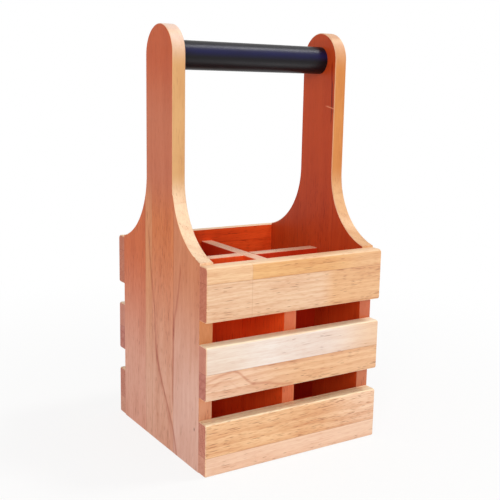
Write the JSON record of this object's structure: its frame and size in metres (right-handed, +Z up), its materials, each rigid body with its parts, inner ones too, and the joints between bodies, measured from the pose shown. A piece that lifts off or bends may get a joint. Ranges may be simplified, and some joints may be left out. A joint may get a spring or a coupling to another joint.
{
  "type": "utensil caddy",
  "caption": "Slatted wooden caddy with cross dividers for standing cutlery upright, and a black bar between round-topped arms to carry it by.",
  "frame": {"origin": "on the surface that the caddy stands on, under its middle", "axes": "+X along the slats and the bar, to the right seen from the front; +Y to the back; +Z up"},
  "size_m": [0.16, 0.154, 0.329],
  "materials": {
    "panels": "clear satin lacquer on edge-glued hardwood, upright grain",
    "slats": "clear satin lacquer on edge-glued hardwood, lengthwise grain",
    "inner_boards": "clear satin lacquer on edge-glued hardwood",
    "dowels": "plain fluted hardwood",
    "bar": "semi-gloss black coating"
  },
  "bodies": {
    "root": {"side_panel_left": "panels", "side_panel_right": "panels", "front_slat_top": "slats", "front_slat_middle": "slats", "front_slat_bottom": "slats", "back_slat_top": "slats", "back_slat_middle": "slats", "back_slat_bottom": "slats", "floor_board": "inner_boards", "divider_lengthwise": "inner_boards", "divider_crosswise": "inner_boards", "front_slat_top_dowels": "dowels", "front_slat_middle_dowels": "dowels", "front_slat_bottom_dowels": "dowels", "back_slat_top_dowels": "dowels", "back_slat_middle_dowels": "dowels", "back_slat_bottom_dowels": "dowels", "handle_bar": "bar"}
  },
  "joints": []
}
